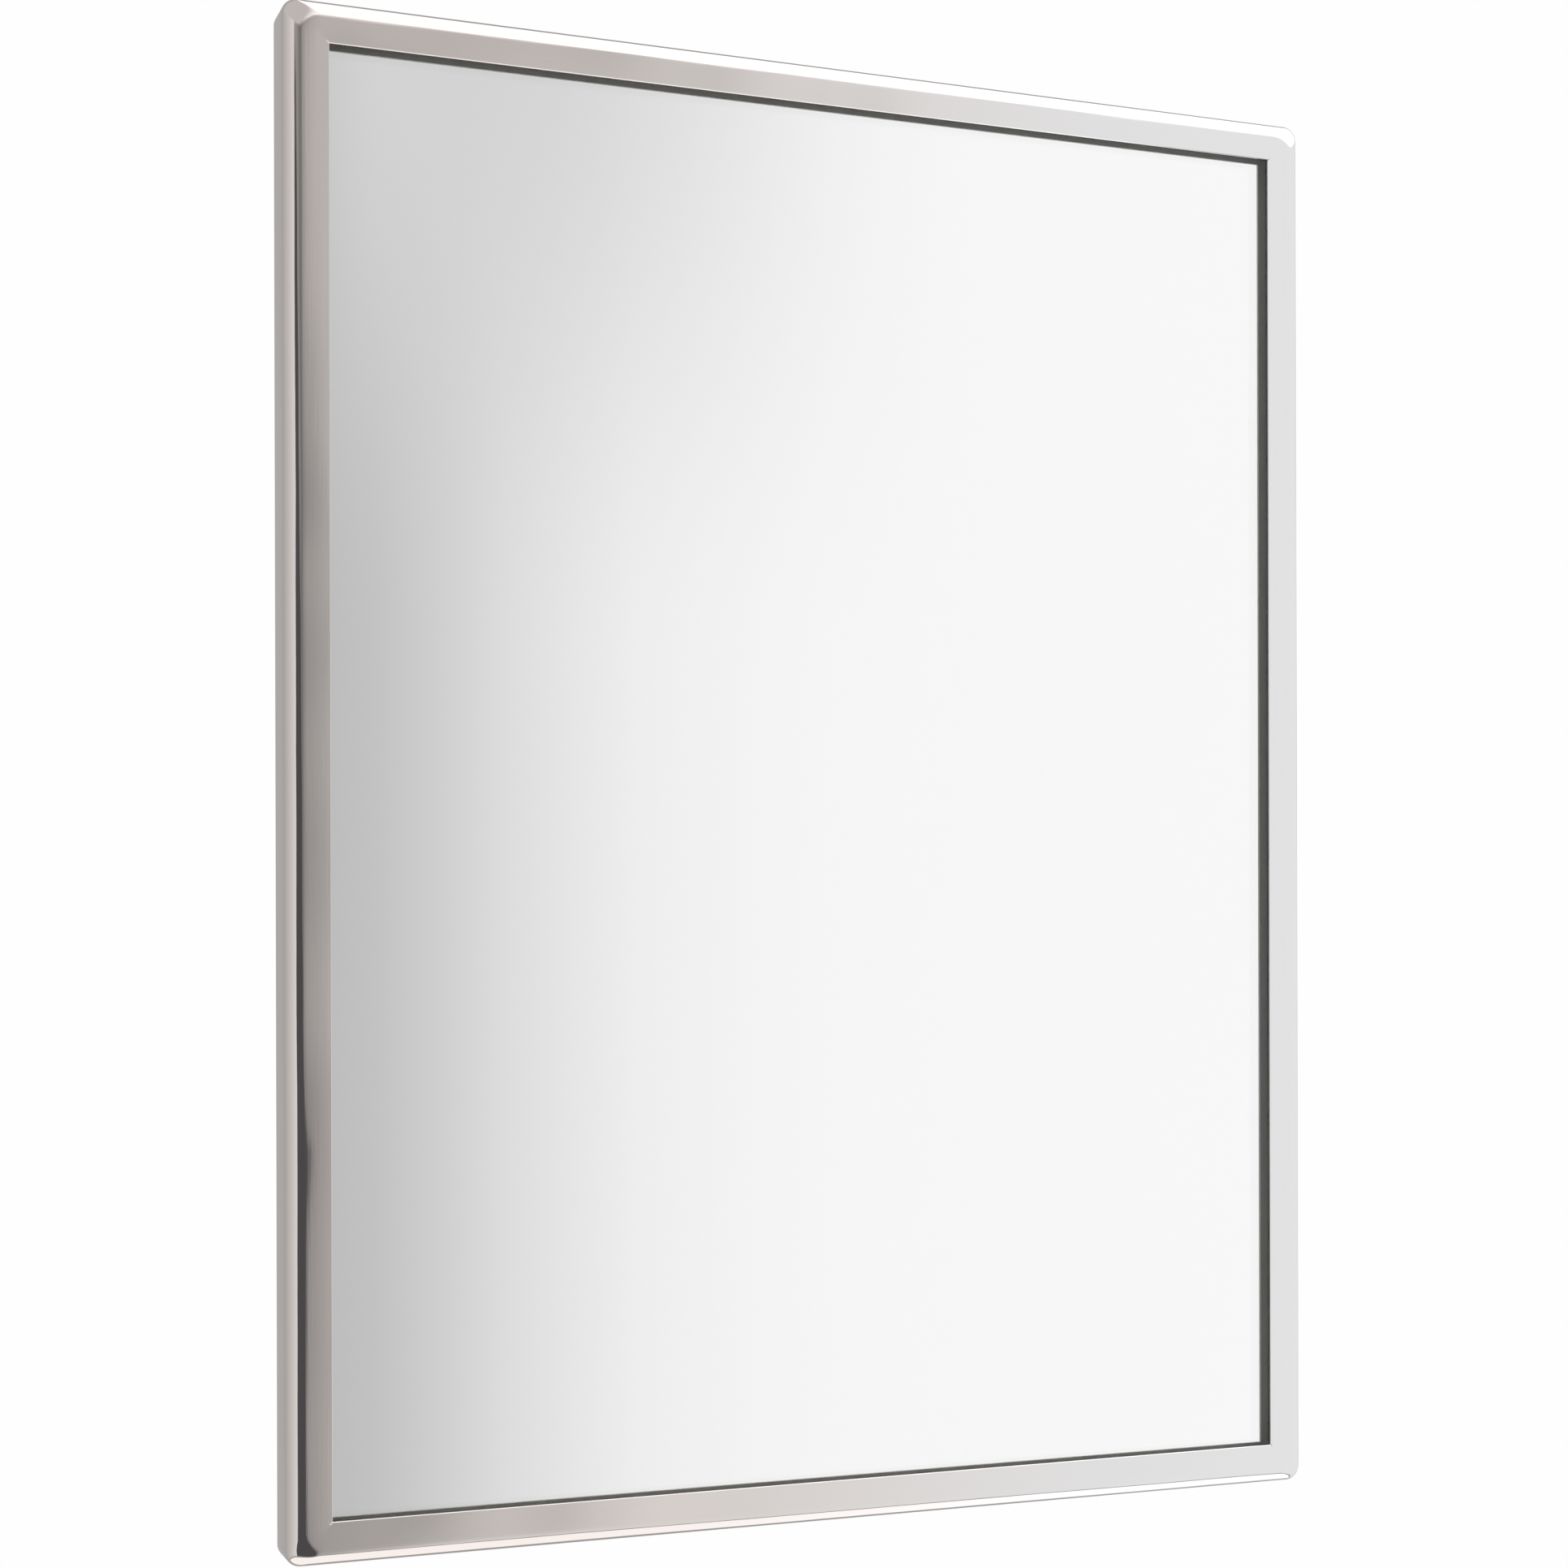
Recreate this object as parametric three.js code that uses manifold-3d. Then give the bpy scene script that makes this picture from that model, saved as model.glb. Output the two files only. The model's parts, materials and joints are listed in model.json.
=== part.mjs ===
// Wall mirror in a polished stainless angle frame, with its back and its wall hanger.
// Millimetres, +Z up, the glass faces -Y and the wall is the plane y = 0.
// The origin is the middle of the upper hanger rail's back face, on the wall.

import * as THREE from 'three';
import { mergeVertices } from 'three/addons/utils/BufferGeometryUtils.js';
import Module from 'manifold-3d';

const wasm = await Module();
wasm.setup();

// Driving dimensions
const mirrorWidth = 457.2;
const mirrorHeight = 609.6;
const faceWidth = 17.5;
const frameDepth = 22;
const wallGap = 1.5;
const sheet = 1;
const outerRadius = 7;
const cornerRadius = 3;
const hemDepth = 7;
const mitreGap = 0.15;
const fit = 0.1;
const airGap = 0.3;

const glassInset = 5.2;
const glassThickness = 6;
const coatingThickness = 0.3;
const padThickness = 4.5;
const trayFlange = 9;
const trayInset = 2.3;

const hookSheet = 1.2;
const hangerLength = 240;
const upperHookZ = 220;
const lowerHookZ = -230;
const hangerAbove = 12;
const hangerBelow = 30;
const strapWidth = 26;

const lockX = 95;
const lockY = -5.8;
const lockScrewRadius = 1.75;
const lockScrewLength = 26;
const lockTipZ = -273.2;
const lockShelfZ = -283;
const lockBracketWidth = 22;

const rivetX = [-80, 0, 80];
const rivetZ = -14;
const rivetHole = 1.9;
const wallSlotX = 80;
const wallSlotZ = -20;
const bracketLength = 200;
const screwX = [-165, 0, 165];
const screwHole = 1.9;
const keyHole = 2.1;
const bumperX = 200;
const bumperZ = 270;
const bumperRadius = 9;

// Depths, counted back from the front of the frame
const frontY = -(frameDepth + wallGap);
const glassFront = sheet + 2 * fit;
const coatingFront = glassFront + glassThickness + fit;
const padFront = coatingFront + coatingThickness + fit;
const trayFront = padFront + padThickness + fit;
const trayBackY = frontY + trayFront + sheet;

const steel = new THREE.MeshStandardMaterial({ color: 0xc9c6c4, roughness: 0.12, metalness: 1 });
const zinc = new THREE.MeshStandardMaterial({ color: 0xa9adb0, roughness: 0.42, metalness: 1 });
const screwSteel = new THREE.MeshStandardMaterial({ color: 0x9a9ca0, roughness: 0.3, metalness: 1 });
const blackSteel = new THREE.MeshStandardMaterial({ color: 0x26262a, roughness: 0.45, metalness: 1 });
const glass = new THREE.MeshStandardMaterial({ color: 0xdfe9e4, roughness: 0.02, metalness: 0 });
const silver = new THREE.MeshStandardMaterial({ color: 0xe6e8e8, roughness: 0.05, metalness: 1 });
const vinyl = new THREE.MeshStandardMaterial({ color: 0x8f9290, roughness: 0.6, metalness: 0 });
const foam = new THREE.MeshStandardMaterial({ color: 0xe9e9e6, roughness: 0.9, metalness: 0 });
const rubber = new THREE.MeshStandardMaterial({ color: 0x1d1d1f, roughness: 0.8, metalness: 0 });

const assembly = new THREE.Group();
assembly.position.z = -upperHookZ;

function addPiece(name, geometry, material) {
  const mesh = new THREE.Mesh(geometry, material);
  mesh.name = name;
  assembly.add(mesh);
}

function toSolid(geometry) {
  const bare = geometry.index ? geometry.toNonIndexed() : geometry.clone();
  bare.deleteAttribute('normal');
  bare.deleteAttribute('uv');
  const merged = mergeVertices(bare, 1e-4);
  const mesh = new wasm.Mesh({
    numProp: 3,
    vertProperties: new Float32Array(merged.attributes.position.array),
    triVerts: new Uint32Array(merged.index.array),
  });
  mesh.merge();
  return new wasm.Manifold(mesh);
}

function toGeometry(solid) {
  const mesh = solid.getMesh();
  const geometry = new THREE.BufferGeometry();
  geometry.setAttribute('position', new THREE.BufferAttribute(mesh.vertProperties, 3));
  geometry.setIndex(new THREE.BufferAttribute(mesh.triVerts, 1));
  geometry.computeVertexNormals();
  return geometry;
}

function cut(geometry, cutters) {
  let solid = toSolid(geometry);
  for (const cutter of cutters) {
    solid = solid.subtract(toSolid(cutter));
  }
  return toGeometry(solid);
}

// A box from its lowest corner to its highest one
function box(low, high) {
  const size = high.map((value, i) => value - low[i]);
  const centre = high.map((value, i) => (value + low[i]) / 2);
  return new THREE.BoxGeometry(...size).translate(...centre);
}

// A round rod that runs along one axis, 'x', 'y' or 'z', from its start point
function rod(radius, length, axis, start, segments = 24) {
  const geometry = new THREE.CylinderGeometry(radius, radius, length, segments);
  geometry.translate(0, length / 2, 0);
  if (axis === 'z') geometry.rotateX(Math.PI / 2);
  if (axis === 'x') geometry.rotateZ(-Math.PI / 2);
  return geometry.translate(...start);
}

// A (y, z) outline carried along X, centred on x = 0
function extrudeAlongX(outline, length) {
  const shape = new THREE.Shape(outline.map(([y, z]) => new THREE.Vector2(y, z)));
  const geometry = new THREE.ExtrudeGeometry(shape, { depth: length, bevelEnabled: false });
  geometry.translate(0, 0, -length / 2);
  // (outline y, outline z, run) becomes (run, y, z)
  const turn = new THREE.Matrix4().set(0, 0, 1, 0, 1, 0, 0, 0, 0, 1, 0, 0, 0, 0, 0, 1);
  return geometry.applyMatrix4(turn);
}

// The rail's section: x is the distance in from the outer wall, y the depth behind the front
function railSection() {
  const bend = new THREE.Shape();
  bend.moveTo(faceWidth, 0);
  bend.lineTo(outerRadius, 0);
  bend.absarc(outerRadius, outerRadius, outerRadius, -Math.PI / 2, -Math.PI, true);
  bend.lineTo(0, frameDepth);
  bend.lineTo(2 * sheet, frameDepth);
  bend.lineTo(2 * sheet, frameDepth - hemDepth);
  bend.lineTo(sheet, frameDepth - hemDepth);
  bend.lineTo(sheet, outerRadius);
  bend.absarc(outerRadius, outerRadius, outerRadius - sheet, Math.PI, 1.5 * Math.PI, false);
  bend.lineTo(faceWidth, sheet);
  bend.closePath();
  return bend;
}

// The rail's outline seen from the front: a mitred strip whose two outer corners are rounded.
// Its outer edge lies at +z, length/2 each way, and it is deep enough to hold the face.
function mitreBlock(length) {
  const half = length / 2 - mitreGap;
  const r = cornerRadius;
  const diagonal = Math.SQRT1_2;
  const outline = new THREE.Shape();
  outline.moveTo(-half + r * (1 - diagonal), -r * (1 - diagonal));
  outline.absarc(-half + r, -r, r, 0.75 * Math.PI, 0.5 * Math.PI, true);
  outline.lineTo(half - r, 0);
  outline.absarc(half - r, -r, r, 0.5 * Math.PI, 0.25 * Math.PI, true);
  outline.lineTo(half - faceWidth - 5, -faceWidth - 5);
  outline.lineTo(-half + faceWidth + 5, -faceWidth - 5);
  outline.closePath();
  const options = { depth: frameDepth + 10, bevelEnabled: false, curveSegments: 8 };
  const geometry = new THREE.ExtrudeGeometry(outline, options);
  // the outline stands in X and Z, and its thickness runs along Y
  return geometry.rotateX(Math.PI / 2).translate(0, frontY + frameDepth + 5, 0);
}

// One rail with its outer wall at +z, reaching length/2 each way
function rail(length, holes) {
  const options = { depth: length, bevelEnabled: false, curveSegments: 10 };
  const bar = new THREE.ExtrudeGeometry(railSection(), options);
  bar.translate(0, 0, -length / 2);
  // (inset, depth, run) becomes (run, frontY + depth, -inset)
  const turn = new THREE.Matrix4().set(0, 0, 1, 0, 0, 1, 0, frontY, -1, 0, 0, 0, 0, 0, 0, 1);
  bar.applyMatrix4(turn);
  let solid = toSolid(bar).intersect(toSolid(mitreBlock(length)));
  for (const hole of holes) {
    solid = solid.subtract(toSolid(hole));
  }
  return toGeometry(solid);
}

const screwY = frontY + frameDepth - hemDepth / 2;

function addFrame() {
  const screwHoles = screwX.map((x) => rod(screwHole, 8, 'z', [x, screwY, -4]));
  const keyHoles = [-lockX, lockX].map((x) => rod(keyHole, 8, 'z', [x, lockY, -4]));
  const top = rail(mirrorWidth, screwHoles).translate(0, 0, mirrorHeight / 2);
  const bottom = rail(mirrorWidth, [...screwHoles, ...keyHoles]);
  bottom.rotateY(Math.PI).translate(0, 0, -mirrorHeight / 2);
  const left = rail(mirrorHeight, []).rotateY(-Math.PI / 2).translate(-mirrorWidth / 2, 0, 0);
  const right = rail(mirrorHeight, []).rotateY(Math.PI / 2).translate(mirrorWidth / 2, 0, 0);
  addPiece('frame_top_rail', top, steel);
  addPiece('frame_bottom_rail', bottom, steel);
  addPiece('frame_left_rail', left, steel);
  addPiece('frame_right_rail', right, steel);
}

// A flat slab centred on the mirror, inset from the outside of the frame
function slab(inset, front, thickness) {
  const x = mirrorWidth / 2 - inset;
  const z = mirrorHeight / 2 - inset;
  return box([-x, frontY + front, -z], [x, frontY + front + thickness, z]);
}

// The glass, with its edges arrised by half a millimetre
function glassPane() {
  const arris = 0.5;
  const x = mirrorWidth / 2 - glassInset - arris;
  const z = mirrorHeight / 2 - glassInset - arris;
  const corners = [[-x, -z], [x, -z], [x, z], [-x, z]];
  const outline = new THREE.Shape(corners.map(([a, b]) => new THREE.Vector2(a, b)));
  const pane = new THREE.ExtrudeGeometry(outline, {
    depth: glassThickness - 2 * arris,
    bevelThickness: arris,
    bevelSize: arris,
    bevelSegments: 1,
  });
  return pane.rotateX(Math.PI / 2).translate(0, frontY + glassFront + glassThickness - arris, 0);
}

// A glazing strip fills the gap between the glass's edge and the frame's wall.
// Its front outer corner is cut back to clear the inside of the bend.
function glazingStrip(length) {
  const outer = -(sheet + airGap);
  const inner = -(glassInset - airGap);
  const front = frontY + glassFront + 1;
  const back = frontY + trayFront - airGap;
  const outline = [[front, inner], [front + 3.8, outer], [back, outer], [back, inner]];
  return extrudeAlongX(outline, length);
}

function addGlazing() {
  addPiece('mirror_glass', glassPane(), glass);
  addPiece('silver_coating', slab(glassInset + 0.5, coatingFront, coatingThickness), silver);
  addPiece('cushion_pad', slab(glassInset + 1, padFront, padThickness), foam);
  const wide = mirrorWidth - 2 * (sheet + airGap);
  const tall = mirrorHeight - 2 * (glassInset + airGap);
  const top = glazingStrip(wide - 8).translate(0, 0, mirrorHeight / 2);
  const bottom = glazingStrip(wide - 8).rotateY(Math.PI).translate(0, 0, -mirrorHeight / 2);
  const left = glazingStrip(tall).rotateY(-Math.PI / 2).translate(-mirrorWidth / 2, 0, 0);
  const right = glazingStrip(tall).rotateY(Math.PI / 2).translate(mirrorWidth / 2, 0, 0);
  addPiece('glazing_strip_top', top, vinyl);
  addPiece('glazing_strip_bottom', bottom, vinyl);
  addPiece('glazing_strip_left', left, vinyl);
  addPiece('glazing_strip_right', right, vinyl);
}

// The back is a shallow tray: a flat plate with its four edges turned towards the wall
function addBackTray() {
  const x = mirrorWidth / 2 - trayInset;
  const z = mirrorHeight / 2 - trayInset;
  const plateY = frontY + trayFront;
  const cutters = [
    box([-x + sheet, plateY + sheet, -z + sheet], [x - sheet, plateY + 20, z - sheet]),
  ];
  const notch = 6;
  for (const sx of [-1, 1]) {
    for (const sz of [-1, 1]) {
      const corner = [sx * x, plateY + sheet, sz * z];
      const inner = [sx * (x - notch), plateY + 20, sz * (z - notch)];
      const low = corner.map((value, i) => Math.min(value, inner[i]) - (i === 1 ? 0 : 1));
      const high = corner.map((value, i) => Math.max(value, inner[i]) + (i === 1 ? 0 : 1));
      cutters.push(box(low, high));
    }
  }
  for (const sx of screwX) {
    for (const edge of [z, -z]) {
      cutters.push(rod(screwHole, 20, 'z', [sx, screwY, edge - 10]));
    }
  }
  for (const sx of [-lockX, lockX]) {
    cutters.push(rod(keyHole, 20, 'z', [sx, lockY, -z - 10]));
  }
  for (const hookZ of [upperHookZ, lowerHookZ]) {
    for (const spot of rivetX) {
      cutters.push(rod(rivetHole, 6, 'y', [spot, plateY - 2, hookZ + rivetZ]));
    }
  }
  const tray = cut(box([-x, plateY, -z], [x, plateY + trayFlange, z]), cutters);
  addPiece('back_tray', tray, zinc);
}

function driverSlot(size) {
  return box([-size, -0.35, 1.2], [size, 0.35, 3]);
}

// A pan-head screw whose head sits on the outer wall; it points down from z = 0
function trayScrew() {
  const points = [[0, -6], [1.3, -6], [1.6, -5.6], [1.6, 0.2], [3.2, 0.2], [3.1, 1.1], [2.4, 1.7], [0, 1.9]];
  const turned = new THREE.LatheGeometry(points.map(([r, h]) => new THREE.Vector2(r, h)), 28);
  turned.rotateX(Math.PI / 2);
  return cut(turned, [driverSlot(1.6), driverSlot(1.6).rotateZ(Math.PI / 2)]);
}

function addTrayScrews() {
  screwX.forEach((x, i) => {
    const top = trayScrew().translate(x, screwY, mirrorHeight / 2);
    const bottom = trayScrew().rotateY(Math.PI).translate(x, screwY, -mirrorHeight / 2);
    addPiece(`tray_screw_top_${i + 1}`, top, screwSteel);
    addPiece(`tray_screw_bottom_${i + 1}`, bottom, screwSteel);
  });
}

// The mirror's bracket: a downward hook that drops behind the hanger's upward lip
function addHangingBracket(name, hookZ) {
  const front = trayBackY + fit;
  const base = front + hookSheet;
  const lipBack = -2.3;
  const outline = [
    [front, -22], [base, -22], [base, airGap], [lipBack - hookSheet, airGap],
    [lipBack - hookSheet, -7], [lipBack, -7], [lipBack, airGap + hookSheet], [front, airGap + hookSheet],
  ];
  const holes = rivetX.map((x) => rod(rivetHole, 4, 'y', [x, front - 1, rivetZ]));
  const bracket = cut(extrudeAlongX(outline, bracketLength), holes).translate(0, 0, hookZ);
  addPiece(name, bracket, zinc);
}

// A domed rivet that joins a bracket to the tray
function rivet() {
  const stem = hookSheet + fit + sheet - 0.1;
  const points = [[0, -stem], [1.6, -stem], [1.6, 0.1], [3.2, 0.1], [3, 0.6], [2.1, 1.05], [0, 1.25]];
  return new THREE.LatheGeometry(points.map(([r, h]) => new THREE.Vector2(r, h)), 24);
}

function addRivets() {
  const rivetY = trayBackY + fit + hookSheet;
  rivetX.forEach((x, i) => {
    addPiece(`rivet_upper_${i + 1}`, rivet().translate(x, rivetY, upperHookZ + rivetZ), screwSteel);
    addPiece(`rivet_lower_${i + 1}`, rivet().translate(x, rivetY, lowerHookZ + rivetZ), screwSteel);
  });
}

// A slot for a wall screw, with round ends
function wallSlot(x, z) {
  const ends = [-4, 4].map((offset) => toSolid(rod(3, 6, 'y', [x + offset, -3, z])));
  const middle = toSolid(box([x - 4, -3, z - 3], [x + 4, 3, z + 3]));
  return toGeometry(middle.add(ends[0]).add(ends[1]));
}

// A hanger rail: a flat plate on the wall with an upward lip that the mirror's hook sits on
function hangerRail(footDepth) {
  const lipFront = -5.1;
  const ledge = -10;
  const outline = [
    [0, -hangerBelow], [0, hangerAbove], [-hookSheet, hangerAbove], [-hookSheet, ledge + hookSheet],
    [lipFront + hookSheet, ledge + hookSheet], [lipFront + hookSheet, 0], [lipFront, 0],
    [lipFront, ledge], [-hookSheet, ledge],
  ];
  if (footDepth > 0) {
    outline.push([-hookSheet, hookSheet - hangerBelow], [-footDepth, hookSheet - hangerBelow]);
    outline.push([-footDepth, -hangerBelow]);
  } else {
    outline.push([-hookSheet, -hangerBelow]);
  }
  return extrudeAlongX(outline, hangerLength);
}

function addWallHanger() {
  const slots = [-wallSlotX, wallSlotX].map((x) => wallSlot(x, wallSlotZ));
  const keyHoles = [-lockX, lockX].map((x) => rod(keyHole, 6, 'z', [x, lockY, -hangerBelow - 2]));
  const upper = cut(hangerRail(0), slots).translate(0, 0, upperHookZ);
  const lower = cut(hangerRail(8.5), [...slots, ...keyHoles]).translate(0, 0, lowerHookZ);
  addPiece('hanger_upper_rail', upper, zinc);
  addPiece('hanger_lower_rail', lower, zinc);
  const high = upperHookZ - hangerBelow - airGap;
  const low = lowerHookZ + hangerAbove + airGap;
  for (const [side, name] of [[-1, 'hanger_left_strap'], [1, 'hanger_right_strap']]) {
    const outer = (side * hangerLength) / 2;
    const inner = outer - side * strapWidth;
    const strap = box([Math.min(outer, inner), -hookSheet, low], [Math.max(outer, inner), 0, high]);
    addPiece(name, strap, zinc);
  }
}

// A locking screw: a hex-socket set screw with a cone tip, pointing up
function lockScrew() {
  const r = lockScrewRadius;
  const long = lockScrewLength;
  const points = [[0, 0], [r - 0.3, 0], [r, 0.3], [r, long - 1.2], [r - 0.9, long], [0, long]];
  const turned = new THREE.LatheGeometry(points.map(([a, h]) => new THREE.Vector2(a, h)), 24);
  turned.rotateX(Math.PI / 2);
  const socket = rod(1.05, 6, 'z', [0, 0, -3], 6);
  return cut(turned, [socket]);
}

// The bracket that carries a locking screw: a foot on the tray and a shelf towards the wall
function addLock(side, x) {
  const front = trayBackY + fit;
  const outline = [
    [front, lockShelfZ - 14], [front + sheet, lockShelfZ - 14], [front + sheet, lockShelfZ - sheet],
    [-3.2, lockShelfZ - sheet], [-3.2, lockShelfZ], [front, lockShelfZ],
  ];
  const hole = rod(2.05, 6, 'z', [0, lockY, lockShelfZ - 3]);
  const bracket = cut(extrudeAlongX(outline, lockBracketWidth), [hole]).translate(x, 0, 0);
  addPiece(`lock_bracket_${side}`, bracket, zinc);
  // the nut's flats face the tray and the wall
  const nutBody = rod(3 / Math.cos(Math.PI / 6), 2.8, 'z', [0, 0, 0], 6).rotateZ(Math.PI / 6);
  const nut = cut(nutBody, [rod(lockScrewRadius + 0.2, 6, 'z', [0, 0, -1])]);
  addPiece(`lock_nut_${side}`, nut.translate(x, lockY, lockShelfZ + fit), screwSteel);
  addPiece(`lock_screw_${side}`, lockScrew().translate(x, lockY, lockTipZ - lockScrewLength), blackSteel);
}

// Soft feet that keep the frame off the wall
function addBumpers() {
  const tall = -trayBackY - fit - 0.2;
  const r = bumperRadius;
  const points = [[0, 0], [r, 0], [r, tall - 4], [r - 1, tall - 0.9], [r - 2.4, tall], [0, tall]];
  for (const [side, sx] of [['left', -1], ['right', 1]]) {
    for (const [end, sz] of [['upper', 1], ['lower', -1]]) {
      const pad = new THREE.LatheGeometry(points.map(([a, h]) => new THREE.Vector2(a, h)), 32);
      pad.translate(sx * bumperX, trayBackY + fit, sz * bumperZ);
      addPiece(`bumper_${end}_${side}`, pad, rubber);
    }
  }
}

addFrame();
addGlazing();
addBackTray();
addTrayScrews();
addHangingBracket('upper_hanging_bracket', upperHookZ);
addHangingBracket('lower_hanging_bracket', lowerHookZ);
addRivets();
addWallHanger();
addLock('left', -lockX);
addLock('right', lockX);
addBumpers();

export default assembly;
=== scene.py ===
import json
import math

import bmesh
import bpy
import numpy as np
from mathutils import Euler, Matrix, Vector


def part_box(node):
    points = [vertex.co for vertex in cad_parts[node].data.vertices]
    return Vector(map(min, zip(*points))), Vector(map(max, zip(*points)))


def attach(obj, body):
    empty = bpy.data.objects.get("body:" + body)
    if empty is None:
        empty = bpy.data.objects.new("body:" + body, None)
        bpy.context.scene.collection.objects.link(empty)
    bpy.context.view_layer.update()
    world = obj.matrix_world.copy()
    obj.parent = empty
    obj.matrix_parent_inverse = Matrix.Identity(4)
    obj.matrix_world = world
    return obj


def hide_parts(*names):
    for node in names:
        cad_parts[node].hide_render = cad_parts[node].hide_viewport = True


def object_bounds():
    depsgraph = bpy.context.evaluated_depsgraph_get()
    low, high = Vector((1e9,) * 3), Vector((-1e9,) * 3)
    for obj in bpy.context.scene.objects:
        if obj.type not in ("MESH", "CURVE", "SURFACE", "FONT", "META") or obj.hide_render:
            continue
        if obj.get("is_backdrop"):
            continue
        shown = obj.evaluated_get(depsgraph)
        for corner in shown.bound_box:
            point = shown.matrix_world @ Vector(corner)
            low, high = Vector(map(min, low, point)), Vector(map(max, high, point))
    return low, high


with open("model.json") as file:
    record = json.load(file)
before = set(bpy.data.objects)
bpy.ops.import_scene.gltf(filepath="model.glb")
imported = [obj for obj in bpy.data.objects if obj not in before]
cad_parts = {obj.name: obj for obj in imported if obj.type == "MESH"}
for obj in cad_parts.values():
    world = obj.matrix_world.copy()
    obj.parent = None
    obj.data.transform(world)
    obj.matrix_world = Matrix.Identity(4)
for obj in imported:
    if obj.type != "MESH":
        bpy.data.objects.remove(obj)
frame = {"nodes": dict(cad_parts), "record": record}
cadLow, cadHigh = (np.array(corner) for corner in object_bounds())
mm = 0.001

glassLow, glassHigh = (np.array(corner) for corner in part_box("mirror_glass"))
railLow, railHigh = (np.array(corner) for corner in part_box("frame_left_rail"))
rightHigh = np.array(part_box("frame_right_rail")[1])
trayLow, trayHigh = (np.array(corner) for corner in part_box("back_tray"))

mirrorCentre = (glassLow + glassHigh) / 2
frontY = railLow[1]
frameDepth = railHigh[1] - railLow[1]
halfWidth = (rightHigh[0] - railLow[0]) / 2
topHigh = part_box("frame_top_rail")[1][2]
halfHeight = topHigh - mirrorCentre[2]
faceWidth = railHigh[0] - railLow[0]
print("frame loaded")


def makeMesh(name, points, faces, smoothAngle=40, closed=True):
    # points is an (n, 3) array in metres, faces a list or an array of point numbers
    mesh = bpy.data.meshes.new(name)
    mesh.from_pydata(np.asarray(points).tolist(), [], [list(map(int, face)) for face in faces])
    if closed:
        # turns every face outwards
        shell = bmesh.new()
        shell.from_mesh(mesh)
        bmesh.ops.recalc_face_normals(shell, faces=shell.faces)
        shell.to_mesh(mesh)
        shell.free()
    mesh.update()
    mesh.shade_smooth()
    mesh.set_sharp_from_angle(angle=math.radians(smoothAngle))
    piece = bpy.data.objects.new(name, mesh)
    bpy.context.scene.collection.objects.link(piece)
    return piece


def gridFaces(rows, columns, wrapRows=False, wrapColumns=False):
    # quads between neighbouring points of a rows x columns grid
    r = np.arange(rows if wrapRows else rows - 1)
    c = np.arange(columns if wrapColumns else columns - 1)
    r, c = np.meshgrid(r, c, indexing="ij")
    r2, c2 = (r + 1) % rows, (c + 1) % columns
    corners = [r * columns + c, r * columns + c2, r2 * columns + c2, r2 * columns + c]
    return np.stack([corner.ravel() for corner in corners], axis=1)


def punch(points, faces, cells, centres, across, along, radius, shift=0.0, steps=6):
    # Cuts a round hole, or a slot when shift is not 0, between two flat cells of a sheet. The
    # cells are four point numbers each, at -135, -45, 45 and 135 degrees from the hole's centre.
    angle = math.radians(-135) + np.linspace(0, 2 * math.pi, 4 * steps, endpoint=False)
    aside = radius * np.cos(angle) + shift * np.sign(np.round(np.cos(angle), 6))
    ahead = radius * np.sin(angle)
    loops = []
    for centre, cell in zip(centres, cells):
        ring = np.asarray(centre) + aside[:, None] * np.asarray(across) + ahead[:, None] * np.asarray(along)
        loop = list(range(len(points), len(points) + len(ring)))
        points.extend(ring.tolist())
        loops.append(loop)
        for k in range(4):
            arc = [loop[(k * steps + j) % len(loop)] for j in range(steps + 1)]
            faces.append([cell[k], cell[(k + 1) % 4]] + arc[::-1])
    for j in range(len(angle)):
        n = (j + 1) % len(angle)
        faces.append([loops[0][j], loops[0][n], loops[1][n], loops[1][j]])


def finishPiece(piece, body, slot, material, *nodes):
    piece.data.materials.append(material)
    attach(piece, body)
    if nodes:
        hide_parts(*nodes)


def newGroup(name, inputs, outputs):
    group = bpy.data.node_groups.new(name, "ShaderNodeTree")
    for label, kind, value in inputs:
        socket = group.interface.new_socket(label, in_out="INPUT", socket_type=kind)
        if value is not None:
            socket.default_value = value
    for label, kind in outputs:
        group.interface.new_socket(label, in_out="OUTPUT", socket_type=kind)
    return group, group.nodes.new("NodeGroupInput"), group.nodes.new("NodeGroupOutput")


def addNode(tree, kind, links=None, **settings):
    # settings are attributes of the node, or values of its inputs by name
    node = tree.nodes.new(kind)
    for key, value in settings.items():
        if hasattr(node, key):
            setattr(node, key, value)
        else:
            node.inputs[key.replace("_", " ")].default_value = value
    for key, source in (links or {}).items():
        tree.links.new(source, node.inputs[key])
    return node


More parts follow.
